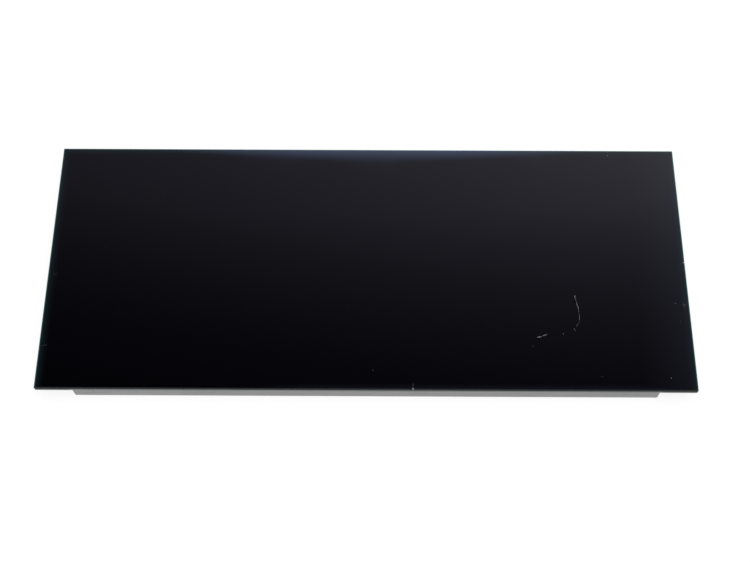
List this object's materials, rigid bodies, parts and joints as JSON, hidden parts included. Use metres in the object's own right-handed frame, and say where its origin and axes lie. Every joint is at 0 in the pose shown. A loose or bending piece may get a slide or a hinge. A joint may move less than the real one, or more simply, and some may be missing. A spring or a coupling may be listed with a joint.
{
  "type": "lcd panel",
  "caption": "Ultra-wide liquid crystal display panel: full-face black-bordered cover glass bonded to the cell, over a slim ribbed die-cast housing with an edge-lit backlight and driver board.",
  "frame": {"origin": "centre of the panel's outline, on the plane of the housing's rear rim", "axes": "+X to the picture's right, +Y to the picture's top edge, +Z out of the picture towards the viewer"},
  "size_m": [0.344, 0.1436, 0.013],
  "materials": {
    "cover_glass": "clear toughened glass, ground edge",
    "black_border": "black ceramic print",
    "bonding_layer": "clear optical adhesive",
    "front_polarizer": "dark polarizer film",
    "colour_filter_glass": "dark colour filter glass",
    "array_glass": "grey array glass",
    "driver_chips": "bare silicon",
    "rear_polarizer": "grey polarizer film",
    "cell_tape": "black foam tape",
    "upper_prism_film": "prism film",
    "lower_prism_film": "prism film",
    "diffuser_film": "white diffuser film",
    "light_guide": "clear acrylic",
    "reflector_film": "white reflector film",
    "led_flex": "amber flexible circuit",
    "leds": "white bodies with a yellow phosphor window",
    "middle_frame": "moulded white frame",
    "back_housing": "die-cast and bead blasted",
    "glass_tape": "black foam tape",
    "panel_flex_left": "amber flexible circuit",
    "panel_flex_right": "amber flexible circuit",
    "driver_board": "green solder resist",
    "board_pads": "grey adhesive pad",
    "timing_chip": "black moulded package",
    "memory_chip": "black moulded package",
    "led_driver_chip": "black moulded package",
    "power_coils": "ferrite",
    "capacitors": "tan ceramic",
    "signal_connector": "ivory moulded socket",
    "connector_contacts": "gold-plated contacts",
    "heat_pad": "soft thermal pad",
    "rear_cover": "pressed zinc-coated sheet",
    "cover_screws": "zinc-plated cross-recess screws"
  },
  "bodies": {
    "root": {"cover_glass": "cover_glass", "black_border": "black_border", "bonding_layer": "bonding_layer", "front_polarizer": "front_polarizer", "colour_filter_glass": "colour_filter_glass", "array_glass": "array_glass", "driver_chips": "driver_chips", "rear_polarizer": "rear_polarizer", "cell_tape": "cell_tape", "upper_prism_film": "upper_prism_film", "lower_prism_film": "lower_prism_film", "diffuser_film": "diffuser_film", "light_guide": "light_guide", "reflector_film": "reflector_film", "led_flex": "led_flex", "leds": "leds", "middle_frame": "middle_frame", "back_housing": "back_housing", "glass_tape": "glass_tape", "panel_flex_left": "panel_flex_left", "panel_flex_right": "panel_flex_right", "driver_board": "driver_board", "board_pads": "board_pads", "timing_chip": "timing_chip", "memory_chip": "memory_chip", "led_driver_chip": "led_driver_chip", "power_coils": "power_coils", "capacitors": "capacitors", "signal_connector": "signal_connector", "connector_contacts": "connector_contacts", "heat_pad": "heat_pad", "rear_cover": "rear_cover", "cover_screws": "cover_screws"}
  },
  "joints": []
}
